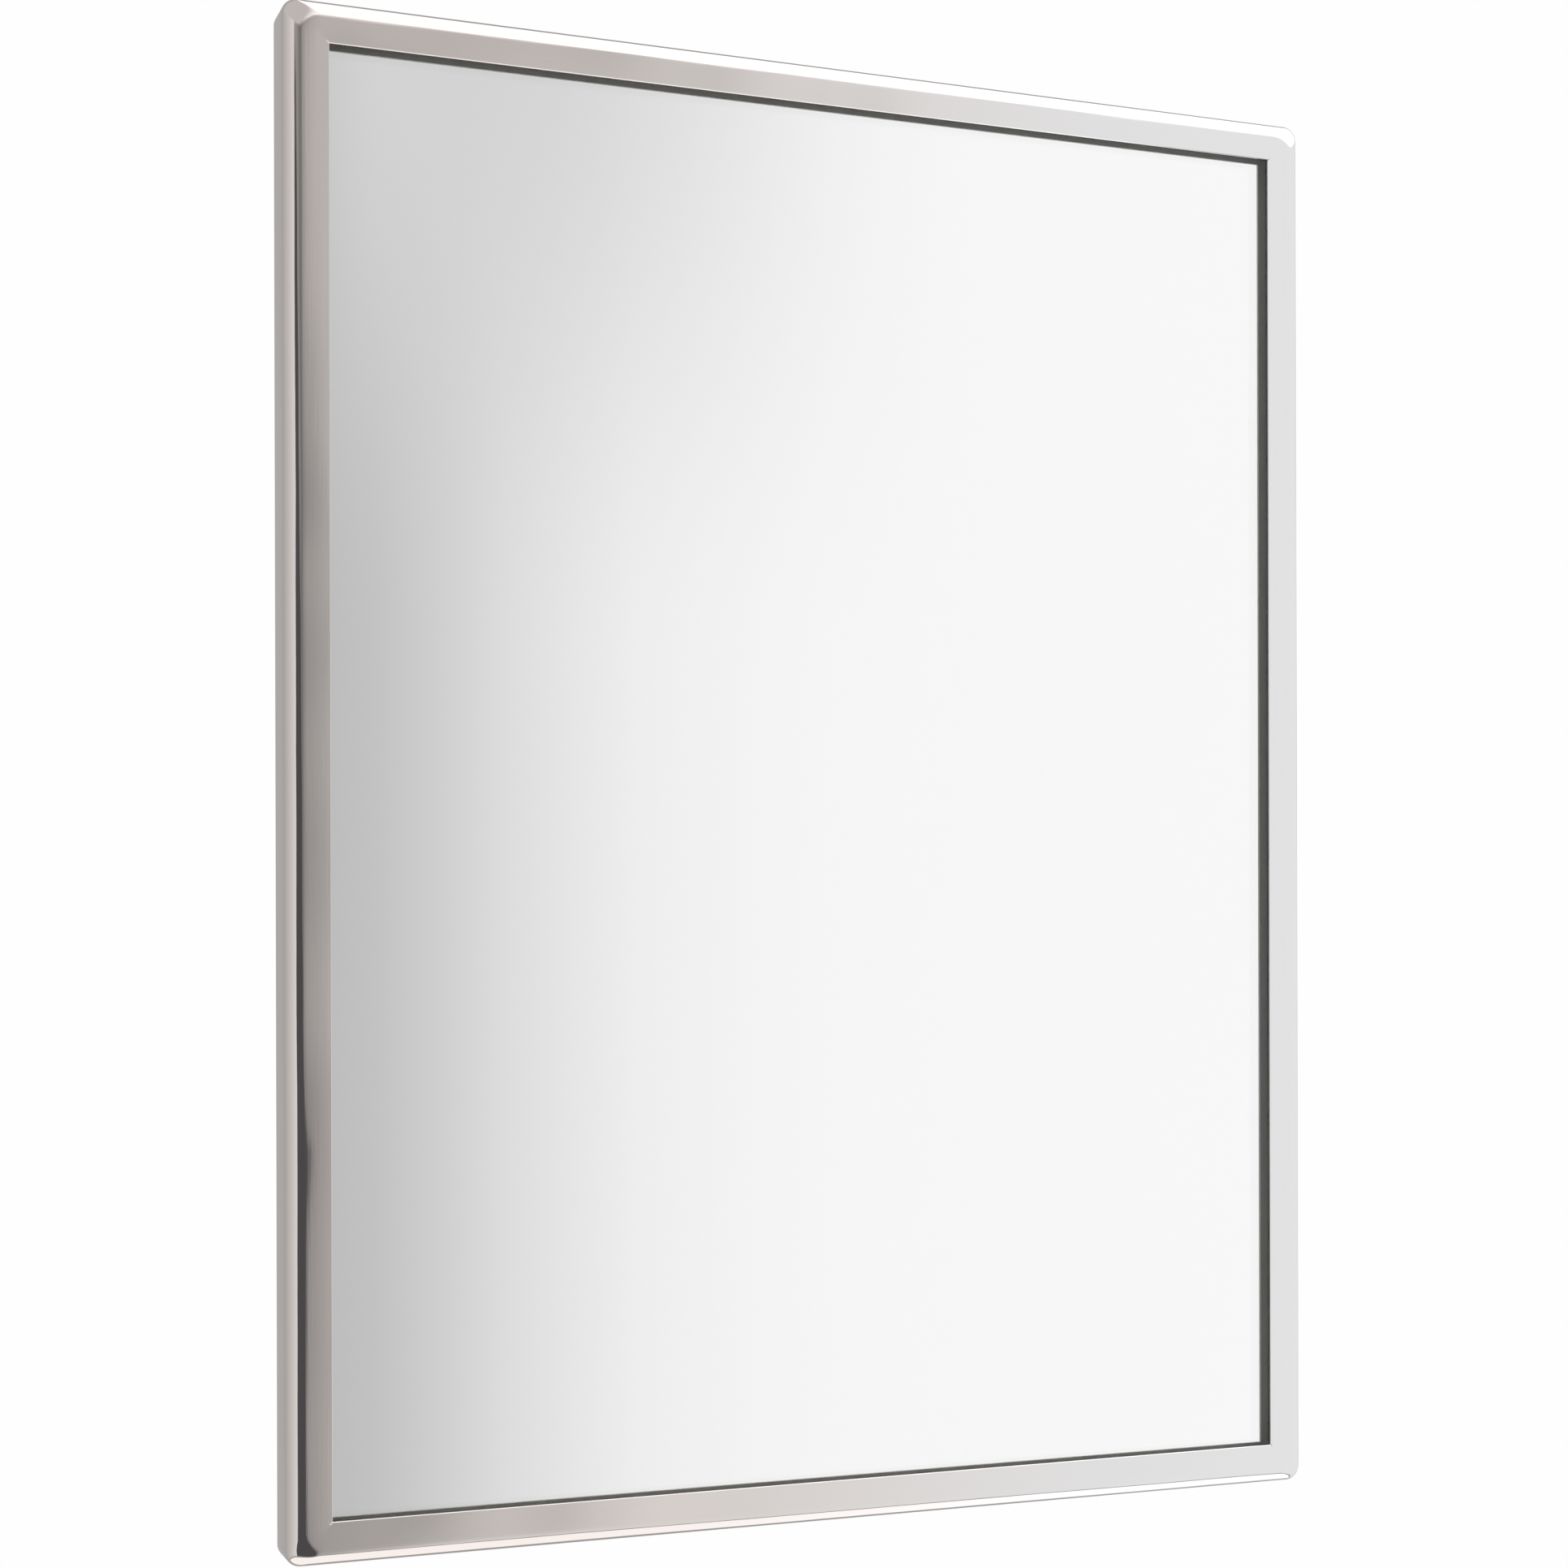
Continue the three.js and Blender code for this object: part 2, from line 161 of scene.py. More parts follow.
def buildSmudgeGroup():
    # cleaning haze and finger smudges: two stretched noises, kept where a third one is high
    inputs = [("Vector", "NodeSocketVector", None), ("Amount", "NodeSocketFloat", 0.5),
              ("Scale", "NodeSocketFloat", 6.0)]
    group, source, result = newGroup("smudges", inputs, [("Mask", "NodeSocketFloat")])
    turned = addNode(group, "ShaderNodeMapping", {"Vector": source.outputs["Vector"]})
    turned.inputs["Rotation"].default_value = (0.0, math.radians(28), 0.0)
    turned.inputs["Scale"].default_value = (1.0, 1.0, 3.4)
    broad = addNode(group, "ShaderNodeTexNoise",
                    {"Vector": turned.outputs[0], "Scale": source.outputs["Scale"]},
                    Detail=4.0, Roughness=0.55, Distortion=0.6)
    patch = addNode(group, "ShaderNodeTexNoise", {"Vector": source.outputs["Vector"]},
                    Scale=3.1, Detail=2.0, Roughness=0.5)
    edge = addNode(group, "ShaderNodeMapRange", {"Value": patch.outputs["Fac"]},
                   interpolation_type="SMOOTHSTEP")
    edge.inputs["From Min"].default_value = 0.45
    edge.inputs["From Max"].default_value = 0.72
    streak = addNode(group, "ShaderNodeMapRange", {"Value": broad.outputs["Fac"]})
    streak.inputs["From Min"].default_value = 0.4
    streak.inputs["From Max"].default_value = 0.75
    both = addNode(group, "ShaderNodeMath", {0: edge.outputs[0], 1: streak.outputs[0]},
                   operation="MULTIPLY")
    scaled = addNode(group, "ShaderNodeMath", {0: both.outputs[0], 1: source.outputs["Amount"]},
                     operation="MULTIPLY")
    group.links.new(scaled.outputs[0], result.inputs["Mask"])
    return group


def buildGrainGroup():
    # fine polishing lines, noise squeezed along the run of the wheel, over slow hand-ground waves
    inputs = [("Vector", "NodeSocketVector", None), ("Stretch", "NodeSocketVector", None),
              ("Strength", "NodeSocketFloat", 0.02), ("Waves", "NodeSocketFloat", 0.5)]
    outputs = [("Normal", "NodeSocketVector"), ("Lines", "NodeSocketFloat")]
    group, source, result = newGroup("polishing lines", inputs, outputs)
    squeezed = addNode(group, "ShaderNodeVectorMath",
                       {0: source.outputs["Vector"], 1: source.outputs["Stretch"]}, operation="MULTIPLY")
    lines = addNode(group, "ShaderNodeTexNoise", {"Vector": squeezed.outputs[0]},
                    Scale=1.0, Detail=3.0, Roughness=0.6)
    waves = addNode(group, "ShaderNodeTexNoise", {"Vector": source.outputs["Vector"]},
                    Scale=10.0, Detail=1.0, Roughness=0.4)
    ground = addNode(group, "ShaderNodeBump",
                     {"Height": waves.outputs["Fac"], "Strength": source.outputs["Waves"]}, Distance=0.0028)
    bump = addNode(group, "ShaderNodeBump",
                   {"Height": lines.outputs["Fac"], "Strength": source.outputs["Strength"],
                    "Normal": ground.outputs[0]}, Distance=0.0002)
    group.links.new(bump.outputs[0], result.inputs["Normal"])
    group.links.new(lines.outputs["Fac"], result.inputs["Lines"])
    return group


def buildSpangleGroup():
    # zinc crystals: cells of flat tone, each with its own brightness, over a slow cloudy change
    inputs = [("Vector", "NodeSocketVector", None), ("Scale", "NodeSocketFloat", 160.0),
              ("Dark", "NodeSocketColor", (0.42, 0.44, 0.45, 1)),
              ("Light", "NodeSocketColor", (0.7, 0.72, 0.73, 1))]
    outputs = [("Color", "NodeSocketColor"), ("Roughness", "NodeSocketFloat"),
               ("Height", "NodeSocketFloat")]
    group, source, result = newGroup("zinc spangle", inputs, outputs)
    wobble = addNode(group, "ShaderNodeTexNoise", {"Vector": source.outputs["Vector"]},
                     Scale=90.0, Detail=2.0)
    moved = addNode(group, "ShaderNodeMix", {}, data_type="VECTOR")
    moved.inputs[0].default_value = 0.012
    group.links.new(source.outputs["Vector"], moved.inputs[4])
    group.links.new(wobble.outputs["Color"], moved.inputs[5])
    cells = addNode(group, "ShaderNodeTexVoronoi",
                    {"Vector": moved.outputs[1], "Scale": source.outputs["Scale"]}, feature="F1")
    tone = addNode(group, "ShaderNodeSeparateColor", {"Color": cells.outputs["Color"]})
    cloud = addNode(group, "ShaderNodeTexNoise", {"Vector": source.outputs["Vector"]},
                    Scale=14.0, Detail=4.0)
    blend = addNode(group, "ShaderNodeMath", {0: tone.outputs[0], 1: cloud.outputs["Fac"]},
                    operation="MULTIPLY")
    colour = addNode(group, "ShaderNodeMix", {}, data_type="RGBA")
    group.links.new(blend.outputs[0], colour.inputs[0])
    group.links.new(source.outputs["Dark"], colour.inputs[6])
    group.links.new(source.outputs["Light"], colour.inputs[7])
    rough = addNode(group, "ShaderNodeMapRange", {"Value": tone.outputs[1]})
    rough.inputs["To Min"].default_value = 0.3
    rough.inputs["To Max"].default_value = 0.52
    group.links.new(colour.outputs[2], result.inputs["Color"])
    group.links.new(rough.outputs[0], result.inputs["Roughness"])
    group.links.new(tone.outputs[2], result.inputs["Height"])
    return group


smudges = buildSmudgeGroup()
grain = buildGrainGroup()
spangle = buildSpangleGroup()
print("shader groups built")


def newMaterial(name):
    material = bpy.data.materials.new(name)
    material.use_nodes = True
    tree = material.node_tree
    return material, tree, tree.nodes["Principled BSDF"], tree.nodes.new("ShaderNodeTexCoord")


def useGroup(tree, group, **values):
    node = tree.nodes.new("ShaderNodeGroup")
    node.node_tree = group
    for key, value in values.items():
        node.inputs[key].default_value = value
    return node


def polishedSteel():
    # the dark rear-edge colour and its depth in this list paint shade along the wall's rear hem
    look = dict(warm=(0.70, 0.645, 0.62), plain=(0.775, 0.775, 0.78), polish=0.985, rough=0.055,
                smudgeRough=0.10, rearShade=(0.30, 0.28, 0.27), rearShadeDepth=0.7 * mm,
                mill=(0.88, 0.85, 0.79), millInset=7.3 * mm, millDepth=0.6 * mm,
                linesAlong=26.0, linesAcross=900.0, warmTo=-0.6, plainFrom=0.9)
    material, tree, shader, place = newMaterial("polished stainless")
    smear = useGroup(tree, smudges, Amount=0.9, Scale=9.0)
    lines = useGroup(tree, grain, Strength=0.035, Waves=1.0)
    # the lines run along each rail: the nearer wall decides which rail a point is on
    local = addNode(tree, "ShaderNodeVectorMath", {0: place.outputs["Object"]}, operation="SUBTRACT")
    local.inputs[1].default_value = tuple(mirrorCentre)
    apart = addNode(tree, "ShaderNodeVectorMath", {0: local.outputs[0]}, operation="ABSOLUTE")
    sides = addNode(tree, "ShaderNodeSeparateXYZ", {"Vector": apart.outputs[0]})
    past = addNode(tree, "ShaderNodeMath", {0: sides.outputs[2], 1: sides.outputs[0]},
                   operation="SUBTRACT")
    level = addNode(tree, "ShaderNodeMath", {0: past.outputs[0]}, operation="GREATER_THAN")
    level.inputs[1].default_value = halfHeight - halfWidth
    stretch = addNode(tree, "ShaderNodeMix", {0: level.outputs[0]}, data_type="VECTOR")
    along, across = look["linesAlong"], look["linesAcross"]
    stretch.inputs[4].default_value = (across, across, along)
    stretch.inputs[5].default_value = (along, across, across)
    tree.links.new(stretch.outputs[1], lines.inputs["Stretch"])
    for group in (smear, lines):
        tree.links.new(place.outputs["Object"], group.inputs["Vector"])
    rough = addNode(tree, "ShaderNodeMapRange", {"Value": smear.outputs["Mask"]})
    rough.inputs["To Min"].default_value = look["rough"]
    rough.inputs["To Max"].default_value = look["smudgeRough"]
    # the tint goes from warm at the left to neutral at the right
    parts = addNode(tree, "ShaderNodeSeparateXYZ", {"Vector": place.outputs["Object"]})
    drift = addNode(tree, "ShaderNodeMapRange", {"Value": parts.outputs[0]},
                    interpolation_type="SMOOTHSTEP")
    drift.inputs["From Min"].default_value = look["warmTo"] * halfWidth
    drift.inputs["From Max"].default_value = look["plainFrom"] * halfWidth
    sheetTone = addNode(tree, "ShaderNodeMix", {0: drift.outputs[0]}, data_type="RGBA")
    sheetTone.inputs[6].default_value = (*look["warm"], 1)
    sheetTone.inputs[7].default_value = (*look["plain"], 1)
    shade = addNode(tree, "ShaderNodeMapRange", {"Value": lines.outputs["Lines"]})
    shade.inputs["To Min"].default_value = look["polish"]
    shade.inputs["To Max"].default_value = 2 - look["polish"]
    colour = addNode(tree, "ShaderNodeVectorMath", {0: sheetTone.outputs[2]}, operation="SCALE")
    tree.links.new(shade.outputs[0], colour.inputs["Scale"])
    # painted shade: a dark grey laid along the rear edge of the wall, standing in for the shadow at the
    # rear hem
    rear = addNode(tree, "ShaderNodeMapRange", {"Value": parts.outputs[1]},
                   interpolation_type="SMOOTHSTEP")
    rear.inputs["From Min"].default_value = railHigh[1] - look["rearShadeDepth"]
    rear.inputs["From Max"].default_value = railHigh[1] - look["rearShadeDepth"] * 0.5
    shadedRear = addNode(tree, "ShaderNodeMix", {0: rear.outputs[0]}, data_type="RGBA")
    tree.links.new(colour.outputs[0], shadedRear.inputs[6])
    shadedRear.inputs[7].default_value = (*look["rearShade"], 1)
    # the back of the face, inside the bend, is pale and not metallic
    beyond = addNode(tree, "ShaderNodeVectorMath", {0: apart.outputs[0]}, operation="SUBTRACT")
    beyond.inputs[1].default_value = (halfWidth - look["millInset"], 0, halfHeight - look["millInset"])
    ends = addNode(tree, "ShaderNodeSeparateXYZ", {"Vector": beyond.outputs[0]})
    widest = addNode(tree, "ShaderNodeMath", {0: ends.outputs[0], 1: ends.outputs[2]}, operation="MAXIMUM")
    inside = addNode(tree, "ShaderNodeMath", {0: widest.outputs[0]}, operation="LESS_THAN")
    inside.inputs[1].default_value = 0.0
    behind = addNode(tree, "ShaderNodeMath", {0: parts.outputs[1]}, operation="GREATER_THAN")
    behind.inputs[1].default_value = frontY + look["millDepth"]
    mill = addNode(tree, "ShaderNodeMath", {0: inside.outputs[0], 1: behind.outputs[0]},
                   operation="MULTIPLY")
    coated = addNode(tree, "ShaderNodeMix", {0: mill.outputs[0]}, data_type="RGBA")
    tree.links.new(shadedRear.outputs[2], coated.inputs[6])
    coated.inputs[7].default_value = (*look["mill"], 1)
    metallic = addNode(tree, "ShaderNodeMath", {1: mill.outputs[0]}, operation="SUBTRACT")
    metallic.inputs[0].default_value = 1.0
    tree.links.new(coated.outputs[2], shader.inputs["Base Color"])
    tree.links.new(rough.outputs[0], shader.inputs["Roughness"])
    tree.links.new(lines.outputs["Normal"], shader.inputs["Normal"])
    tree.links.new(metallic.outputs[0], shader.inputs["Metallic"])
    return material


def clearGlass():
    material, tree, shader, place = newMaterial("float glass")
    smear = useGroup(tree, smudges, Amount=1.0, Scale=5.0)
    tree.links.new(place.outputs["Object"], smear.inputs["Vector"])
    rough = addNode(tree, "ShaderNodeMapRange", {"Value": smear.outputs["Mask"]})
    rough.inputs["To Min"].default_value = 0.0
    rough.inputs["To Max"].default_value = 0.012
    tree.links.new(rough.outputs[0], shader.inputs["Roughness"])
    shader.inputs["Base Color"].default_value = (0.99, 0.993, 0.991, 1)
    shader.inputs["Metallic"].default_value = 0.0
    shader.inputs["Transmission Weight"].default_value = 1.0
    shader.inputs["IOR"].default_value = 1.52
    return material


def silvering():
    material, tree, shader, place = newMaterial("silvering")
    cloud = addNode(tree, "ShaderNodeTexNoise", {"Vector": place.outputs["Object"]},
                    Scale=3.0, Detail=2.0)
    colour = addNode(tree, "ShaderNodeMix", {}, data_type="RGBA")
    tree.links.new(cloud.outputs["Fac"], colour.inputs[0])
    colour.inputs[6].default_value = (0.985, 0.985, 0.982, 1)
    colour.inputs[7].default_value = (0.97, 0.972, 0.97, 1)
    tree.links.new(colour.outputs[2], shader.inputs["Base Color"])
    shader.inputs["Metallic"].default_value = 1.0
    shader.inputs["Roughness"].default_value = 0.0
    return material


def zincSheet():
    material, tree, shader, place = newMaterial("galvanized sheet")
    crystals = useGroup(tree, spangle, Scale=150.0)
    smear = useGroup(tree, smudges, Amount=0.6, Scale=7.0)
    for group in (crystals, smear):
        tree.links.new(place.outputs["Object"], group.inputs["Vector"])
    bump = addNode(tree, "ShaderNodeBump", {"Height": crystals.outputs["Height"]}, Distance=0.00003)
    bump.inputs["Strength"].default_value = 0.25
    rough = addNode(tree, "ShaderNodeMath",
                    {0: crystals.outputs["Roughness"], 1: smear.outputs["Mask"]}, operation="ADD")
    tree.links.new(crystals.outputs["Color"], shader.inputs["Base Color"])
    tree.links.new(rough.outputs[0], shader.inputs["Roughness"])
    tree.links.new(bump.outputs[0], shader.inputs["Normal"])
    shader.inputs["Metallic"].default_value = 1.0
    return material


def turnedMetal(name, light, dark, rough, metallic=1.0):
    material, tree, shader, place = newMaterial(name)
    fine = addNode(tree, "ShaderNodeTexNoise", {"Vector": place.outputs["Object"]},
                   Scale=900.0, Detail=3.0, Roughness=0.6)
    colour = addNode(tree, "ShaderNodeMix", {}, data_type="RGBA")
    tree.links.new(fine.outputs["Fac"], colour.inputs[0])
    colour.inputs[6].default_value = (*dark, 1)
    colour.inputs[7].default_value = (*light, 1)
    worn = addNode(tree, "ShaderNodeMapRange", {"Value": fine.outputs["Fac"]})
    worn.inputs["To Min"].default_value = rough * 0.7
    worn.inputs["To Max"].default_value = rough * 1.3
    tree.links.new(colour.outputs[2], shader.inputs["Base Color"])
    tree.links.new(worn.outputs[0], shader.inputs["Roughness"])
    shader.inputs["Metallic"].default_value = metallic
    return material


def mouldedSoft(name, colour, pale, scale, depth, rough):
    material, tree, shader, place = newMaterial(name)
    pores = addNode(tree, "ShaderNodeTexNoise", {"Vector": place.outputs["Object"]},
                    Scale=scale, Detail=4.0, Roughness=0.65)
    bump = addNode(tree, "ShaderNodeBump", {"Height": pores.outputs["Fac"]}, Distance=depth)
    bump.inputs["Strength"].default_value = 0.6
    tint = addNode(tree, "ShaderNodeMix", {}, data_type="RGBA")
    tree.links.new(pores.outputs["Fac"], tint.inputs[0])
    tint.inputs[6].default_value = (*colour, 1)
    tint.inputs[7].default_value = (*pale, 1)
    tree.links.new(tint.outputs[2], shader.inputs["Base Color"])
    tree.links.new(bump.outputs[0], shader.inputs["Normal"])
    shader.inputs["Roughness"].default_value = rough
    return material


steel = polishedSteel()
glass = clearGlass()
silver = silvering()
zinc = zincSheet()
screwSteel = turnedMetal("zinc-plated screw", (0.72, 0.73, 0.74), (0.52, 0.53, 0.55), 0.3)
blackSteel = turnedMetal("black oxide", (0.09, 0.09, 0.1), (0.03, 0.03, 0.035), 0.42, 0.8)
foam = mouldedSoft("polyethylene foam", (0.74, 0.74, 0.72), (0.86, 0.86, 0.84), 700.0, 0.0003, 0.85)
vinyl = mouldedSoft("grey vinyl", (0.40, 0.39, 0.37), (0.50, 0.49, 0.47), 500.0, 0.0001, 0.55)
rubber = mouldedSoft("black rubber", (0.018, 0.018, 0.02), (0.04, 0.04, 0.042), 900.0, 0.00012, 0.7)

slotMaterials = {"polished_steel": steel, "mirror_glass": glass, "silver": silver, "zinc_steel": zinc,
                 "screw_steel": screwSteel, "black_steel": blackSteel, "foam": foam, "vinyl": vinyl,
                 "rubber": rubber}
slotOf = {row["node"]: row["material_slot"] for row in frame["record"]["subparts"]}
for node, cadObject in frame["nodes"].items():
    for materialSlot in cadObject.material_slots:
        materialSlot.link = "OBJECT"
        materialSlot.material = slotMaterials[slotOf[node]]
print("materials made")


def roundedContours(halfX, halfZ, inset, radius, cornerSteps, sideSteps):
    # One closed rounded rectangle per profile station. inset and radius are arrays, one value
    # per station. Each contour is four arcs of equal angle steps joined by straight sides.
    quarter = np.linspace(0, math.pi / 2, cornerSteps)
    along = np.linspace(0, 1, sideSteps + 2)[1:-1]
    xs, zs = [], []
    signs = [(1, 1), (-1, 1), (-1, -1), (1, -1)]
    for k in range(4):
        (sx, sz), (nx, nz) = signs[k], signs[(k + 1) % 4]
        angle = quarter + k * math.pi / 2
        cx = sx * (halfX - inset - radius)[:, None]
        cz = sz * (halfZ - inset - radius)[:, None]
        ax = cx + radius[:, None] * np.cos(angle)
        az = cz + radius[:, None] * np.sin(angle)
        turn = (k + 1) * math.pi / 2
        bx = nx * (halfX - inset - radius) + radius * math.cos(turn)
        bz = nz * (halfZ - inset - radius) + radius * math.sin(turn)
        mx = ax[:, -1:] + (bx[:, None] - ax[:, -1:]) * along
        mz = az[:, -1:] + (bz[:, None] - az[:, -1:]) * along
        xs += [ax, mx]
        zs += [az, mz]
    return np.concatenate(xs, axis=1), np.concatenate(zs, axis=1)


def frameProfile(s):
    # inset from the outer wall and depth behind the front, round the sheet's whole section
    bend, sheet = s["bend"], s["sheet"]
    turn = np.linspace(0, math.pi / 2, s["bendSteps"])
    face = np.linspace(faceWidth - s["lip"], bend, s["faceSteps"])[:-1]
    # the face bulges by a few hundredths of a millimetre between its edge and the bend
    middle = (faceWidth + bend) / 2
    half = (faceWidth - bend) / 2
    crown = s["crown"] * ((face - middle) / half) ** 2
    fading = s["crown"] * (1 - turn / turn[-1])
    outer = [np.stack([face, crown], 1),
             np.stack([bend - bend * np.sin(turn), bend - bend * np.cos(turn) + fading], 1)]
    # down the outer wall, over the rear edge and back up the hem
    back, lip, double, hemEnd = frameDepth, s["lip"], 2 * sheet, frameDepth - s["hem"]
    low, high = s["keyRows"]
    wall = [(0, low), (0, high), (0, back - lip), (lip, back), (double - lip, back), (double, back - lip),
            (double, high), (double, low), (double, hemEnd + lip), (double - lip, hemEnd),
            (sheet + s["hemGap"], hemEnd), (sheet, hemEnd - lip)]
    inner = bend - sheet
    rest = [np.array(wall), np.stack([bend - inner * np.cos(turn), bend - inner * np.sin(turn)], 1),
            np.array([(faceWidth - lip, sheet), (faceWidth, sheet - lip), (faceWidth, lip)])]
    return np.concatenate(outer + rest)


def buildFrame():
    s = dict(bend=7 * mm, sheet=1 * mm, lip=0.22 * mm, hem=7 * mm, crown=0.05 * mm,
             hemGap=0.05 * mm, bendSteps=15, edgeSteps=3, faceSteps=9, cornerSteps=15, sideSteps=28,
             outerCorner=6 * mm, groundCorner=8 * mm, innerCorner=0.35 * mm, leastInside=0.4 * mm,
             keyRows=(15.4 * mm, 20.0 * mm), keyX=95 * mm, keyDepth=17.7 * mm, keyRadius=2.1 * mm,
             widestCell=50 * mm)
    profile = frameProfile(s)
    inset, depth = profile[:, 0], profile[:, 1]
    # corner radius: near zero at the opening, widest where the weld is ground into the bend
    onFace = np.clip((faceWidth - inset) / (faceWidth - s["bend"]), 0, 1)
    onBend = np.clip(inset / s["bend"], 0, 1)
    onBend = onBend * onBend * (3 - 2 * onBend)
    radius = np.where(inset > s["bend"],
                      s["innerCorner"] + (s["groundCorner"] - s["innerCorner"]) * onFace ** 1.5,
                      s["outerCorner"] + (s["groundCorner"] - s["outerCorner"]) * onBend)
    # the inner bend and the face's edge come last, a sheet's thickness further in
    inside = np.arange(len(inset)) >= len(inset) - s["bendSteps"] - s["edgeSteps"]
    radius = np.where(inside, np.maximum(radius - s["sheet"], s["leastInside"]), radius)
    x, z = roundedContours(halfWidth, halfHeight, inset, radius, s["cornerSteps"], s["sideSteps"])
    y = np.broadcast_to(frontY + depth[:, None], x.shape)
    grid = np.stack([x, y, z + mirrorCentre[2]], axis=-1)
    rows, columns = x.shape
    faces = gridFaces(rows, columns, wrapRows=True, wrapColumns=True).tolist()
    # two holes in the bottom wall let a key reach the locking screws
    low, high = s["keyRows"]
    outerRow = int(np.flatnonzero((inset == 0) & (depth == low))[0])
    hemRow = int(np.flatnonzero((inset > s["sheet"]) & (depth == high))[0])
    points, removed = grid.reshape(-1, 3).tolist(), []
    bottom = z[outerRow] < s["outerCorner"] - halfHeight
    for keyX in (-s["keyX"], s["keyX"]):
        nextX = np.roll(x[outerRow], -1)
        inCell = bottom & (x[outerRow] < keyX) & (nextX > keyX)
        inCell &= np.abs(nextX - x[outerRow]) < s["widestCell"]
        c = int(np.flatnonzero(inCell)[0])
        d = (c + 1) % columns
        outer = [outerRow * columns + c, outerRow * columns + d,
                 (outerRow + 1) * columns + d, (outerRow + 1) * columns + c]
        hem = [(hemRow + 1) * columns + c, (hemRow + 1) * columns + d,
               hemRow * columns + d, hemRow * columns + c]
        removed += [outerRow * columns + c, hemRow * columns + c]
        level = mirrorCentre[2] - halfHeight
        centres = [(keyX, frontY + s["keyDepth"], level + rise) for rise in (0, 2 * s["sheet"])]
        punch(points, faces, [outer, hem], centres, (1, 0, 0), (0, 1, 0), s["keyRadius"])
    faces = [face for k, face in enumerate(faces) if k not in set(removed)]
    return makeMesh("polished_frame", points, faces, smoothAngle=35)


polishedFrame = buildFrame()
finishPiece(polishedFrame, "mirror", "polished_steel", steel,
            "frame_top_rail", "frame_bottom_rail", "frame_left_rail", "frame_right_rail")
print("frame made")


def bentPath(path, bend, steps=7):
    # a (y, z) centre line with its corners rounded to one radius, and the unit normal at each point
    path = np.asarray(path, dtype=float)
    points, normals = [], []
    for k, corner in enumerate(path):
        before = corner - path[k - 1] if k else path[1] - corner
        after = path[k + 1] - corner if k + 1 < len(path) else before
        before, after = before / np.linalg.norm(before), after / np.linalg.norm(after)
        left = np.array([-before[1], before[0]])
        turn = math.atan2(before[0] * after[1] - before[1] * after[0], float(before @ after))
        if abs(turn) < 0.01:
            points.append(corner)
            normals.append(left)
            continue
        side = math.copysign(1, turn)
        centre = corner - before * bend * math.tan(abs(turn) / 2) + side * bend * left
        for angle in np.linspace(0, turn, steps):
            spin = np.array([[math.cos(angle), -math.sin(angle)], [math.sin(angle), math.cos(angle)]])
            normals.append(spin @ left)
            points.append(centre - side * bend * (spin @ left))
    return np.array(points), np.array(normals)


def bentSheet(name, paths, bend, thickness, columns, holes=()):
    # Sheet bent along X: the centre line pushed out by half a thickness each way, at each column.
    # holes are (path number, x, (y, z), radius, shift) on a straight part of that path.
    points, faces = [], []
    columns = np.asarray(columns)
    for number, path in enumerate(paths):
        line, normal = bentPath(path, bend)
        start, count, wide = len(points), len(line), len(columns)
        for sign in (1, -1):
            edge = line + sign * normal * thickness / 2
            y, x = np.meshgrid(edge[:, 0], columns, indexing="ij")
            z = np.broadcast_to(edge[:, 1][:, None], x.shape)
            points.extend(np.stack([x, y, z], axis=-1).reshape(-1, 3).tolist())
        cells = {}
        for side in (0, 1):
            for k, quad in enumerate((gridFaces(count, wide) + start + side * count * wide).tolist()):
                cells[side, k // (wide - 1), k % (wide - 1)] = quad
        for holePath, x, spot, radius, shift in holes:
            if holePath != number:
                continue
            c = int(np.searchsorted(columns, x)) - 1
            away = [np.linalg.norm(line[k] - spot) + np.linalg.norm(line[k + 1] - spot)
                    - np.linalg.norm(line[k + 1] - line[k]) for k in range(count - 1)]
            k = int(np.argmin(away))
            ahead = (line[k + 1] - line[k]) / np.linalg.norm(line[k + 1] - line[k])
            pair = [cells.pop((side, k, c)) for side in (0, 1)]
            centres = [(x, *(np.asarray(spot) + sign * normal[k] * thickness / 2)) for sign in (1, -1)]
            punch(points, faces, pair, centres, (1, 0, 0), (0, *ahead), radius, shift)
        faces.extend(cells.values())
        far = count * wide
        for k in range(count - 1):
            for c in (0, wide - 1):
                a = start + k * wide + c
                faces.append([a, a + wide, a + wide + far, a + far])
        for k in (0, count - 1):
            for c in range(wide - 1):
                a = start + k * wide + c
                faces.append([a, a + 1, a + 1 + far, a + far])
    piece = makeMesh(name, points, faces, smoothAngle=30)
    soften = piece.modifiers.new("edges", "BEVEL")
    soften.width = 0.12 * mm
    soften.segments = 2
    soften.limit_method = "ANGLE"
    soften.angle_limit = math.radians(50)
    return piece


def turnedPiece(name, radius, height, place, axis, ring=False, smoothAngle=40):
    # Points at a radius and a height for each row and each spoke. The ends are closed by caps,
    # or the last row joins the first when it is a ring. axis is where the height grows to.
    rows, spokes = radius.shape
    angle = np.linspace(0, 2 * math.pi, spokes, endpoint=False)
    u, v = radius * np.cos(angle), radius * np.sin(angle)
    height = np.broadcast_to(height, radius.shape)
    turned = {"up": (u, v, height), "down": (u, -v, -height), "back": (u, height, -v)}[axis]
    points = (np.stack(turned, axis=-1) + np.asarray(place)).reshape(-1, 3)
    faces = gridFaces(rows, spokes, wrapRows=ring, wrapColumns=True).tolist()
    if not ring:
        faces += [list(range(spokes)), list(range((rows - 1) * spokes, rows * spokes))]
    return makeMesh(name, points, faces, smoothAngle)


def turnedRows(profile, spokes):
    # the same radius and height all the way round, from (radius, height) pairs in millimetres
    profile = np.asarray(profile) * mm
    return np.repeat(profile[:, :1], spokes, axis=1), profile[:, 1:]


def dome(rim, low, high, steps):
    # (radius, height) pairs of a quarter ellipse from the rim up to the middle
    turn = np.linspace(0, math.pi / 2 - 0.03, steps)
    return list(zip(rim * np.cos(turn), low + (high - low) * np.sin(turn)))


